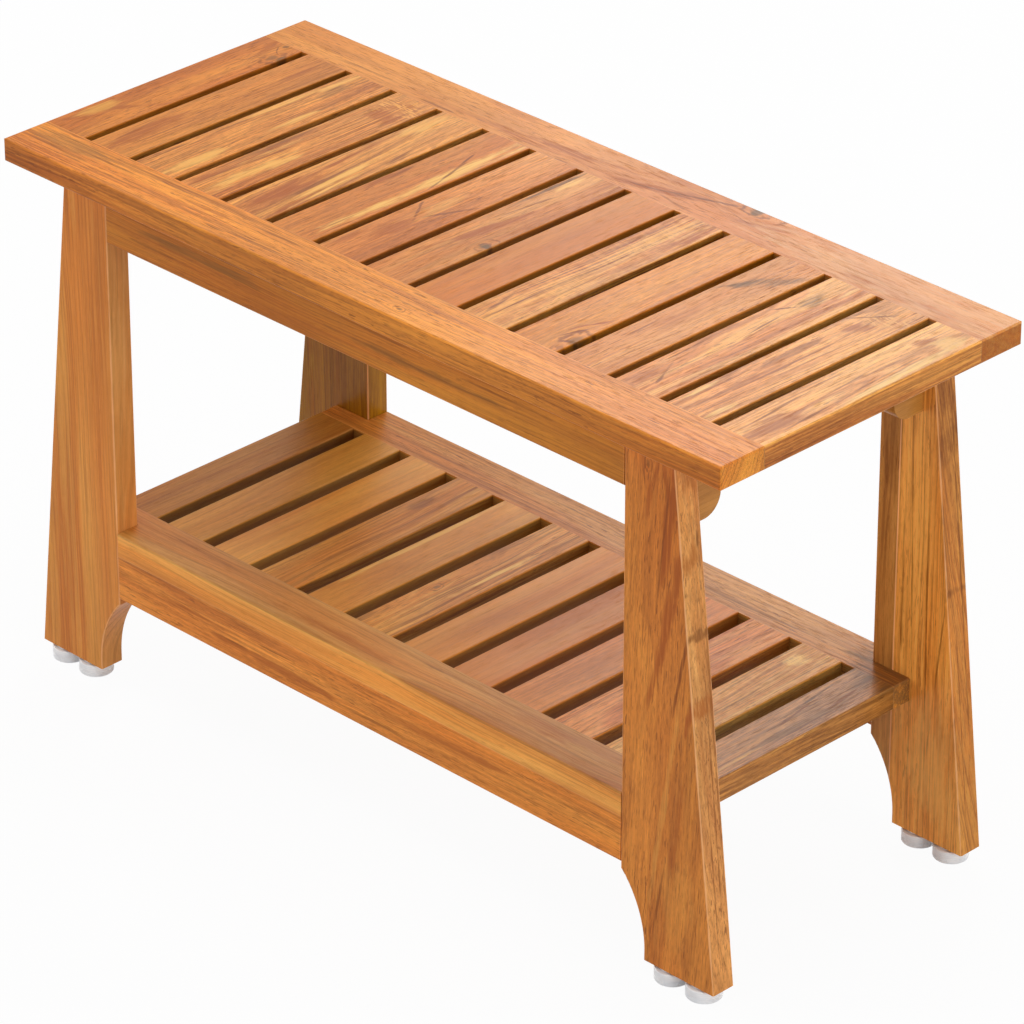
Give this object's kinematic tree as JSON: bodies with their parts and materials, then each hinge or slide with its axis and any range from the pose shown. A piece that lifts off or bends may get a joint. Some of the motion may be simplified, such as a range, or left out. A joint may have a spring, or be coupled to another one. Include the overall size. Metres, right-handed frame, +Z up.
{
  "type": "shower bench",
  "caption": "Slatted hardwood shower bench with flared scooped legs, a slatted lower shelf notched round them and screw-in levelling feet.",
  "frame": {"origin": "on the floor, under the middle of the seat, with all feet screwed right in", "axes": "+X along the bench, +Y towards its back, +Z up"},
  "size_m": [0.762, 0.32, 0.459],
  "materials": {
    "seat_teak": "clear gloss over oiled teak",
    "shelf_teak": "clear gloss over oiled teak",
    "frame_teak": "clear gloss over oiled teak",
    "foot_plastic": "moulded nylon, light grey",
    "brass": "turned",
    "dowel_wood": "plain beech",
    "steel": "stainless, bright"
  },
  "bodies": {
    "bench": {"seat_rail_front": "seat_teak", "seat_rail_back": "seat_teak", "seat_end_left": "seat_teak", "seat_end_right": "seat_teak", "seat_slat_01": "seat_teak", "seat_slat_02": "seat_teak", "seat_slat_03": "seat_teak", "seat_slat_04": "seat_teak", "seat_slat_05": "seat_teak", "seat_slat_06": "seat_teak", "seat_slat_07": "seat_teak", "seat_slat_08": "seat_teak", "seat_slat_09": "seat_teak", "seat_slat_10": "seat_teak", "seat_slat_11": "seat_teak", "seat_slat_12": "seat_teak", "seat_slat_13": "seat_teak", "shelf_rail_front": "shelf_teak", "shelf_rail_back": "shelf_teak", "shelf_end_left": "shelf_teak", "shelf_end_right": "shelf_teak", "shelf_slat_01": "shelf_teak", "shelf_slat_02": "shelf_teak", "shelf_slat_03": "shelf_teak", "shelf_slat_04": "shelf_teak", "shelf_slat_05": "shelf_teak", "shelf_slat_06": "shelf_teak", "shelf_slat_07": "shelf_teak", "shelf_slat_08": "shelf_teak", "shelf_slat_09": "shelf_teak", "shelf_slat_10": "shelf_teak", "leg_front_left": "frame_teak", "leg_back_left": "frame_teak", "leg_front_right": "frame_teak", "leg_back_right": "frame_teak", "seat_apron_front": "frame_teak", "seat_apron_back": "frame_teak", "shelf_apron_front": "frame_teak", "shelf_apron_back": "frame_teak", "cross_rail_left": "frame_teak", "cross_rail_right": "frame_teak", "foot_inserts": "brass", "apron_dowels": "dowel_wood", "seat_screws": "steel", "shelf_screws": "steel"},
    "foot_front_left_inner": {"foot_front_left_inner": "foot_plastic"},
    "foot_front_left_outer": {"foot_front_left_outer": "foot_plastic"},
    "foot_back_left_inner": {"foot_back_left_inner": "foot_plastic"},
    "foot_back_left_outer": {"foot_back_left_outer": "foot_plastic"},
    "foot_front_right_inner": {"foot_front_right_inner": "foot_plastic"},
    "foot_front_right_outer": {"foot_front_right_outer": "foot_plastic"},
    "foot_back_right_inner": {"foot_back_right_inner": "foot_plastic"},
    "foot_back_right_outer": {"foot_back_right_outer": "foot_plastic"}
  },
  "joints": [
    {"name": "foot_front_left_inner_screw_out", "type": "slide", "parent": "bench", "child": "foot_front_left_inner", "axis": [0, 0, -1], "range_m": [0, 0.01]},
    {"name": "foot_front_left_outer_screw_out", "type": "slide", "parent": "bench", "child": "foot_front_left_outer", "axis": [0, 0, -1], "range_m": [0, 0.01]},
    {"name": "foot_back_left_inner_screw_out", "type": "slide", "parent": "bench", "child": "foot_back_left_inner", "axis": [0, 0, -1], "range_m": [0, 0.01]},
    {"name": "foot_back_left_outer_screw_out", "type": "slide", "parent": "bench", "child": "foot_back_left_outer", "axis": [0, 0, -1], "range_m": [0, 0.01]},
    {"name": "foot_front_right_inner_screw_out", "type": "slide", "parent": "bench", "child": "foot_front_right_inner", "axis": [0, 0, -1], "range_m": [0, 0.01]},
    {"name": "foot_front_right_outer_screw_out", "type": "slide", "parent": "bench", "child": "foot_front_right_outer", "axis": [0, 0, -1], "range_m": [0, 0.01]},
    {"name": "foot_back_right_inner_screw_out", "type": "slide", "parent": "bench", "child": "foot_back_right_inner", "axis": [0, 0, -1], "range_m": [0, 0.01]},
    {"name": "foot_back_right_outer_screw_out", "type": "slide", "parent": "bench", "child": "foot_back_right_outer", "axis": [0, 0, -1], "range_m": [0, 0.01]}
  ]
}
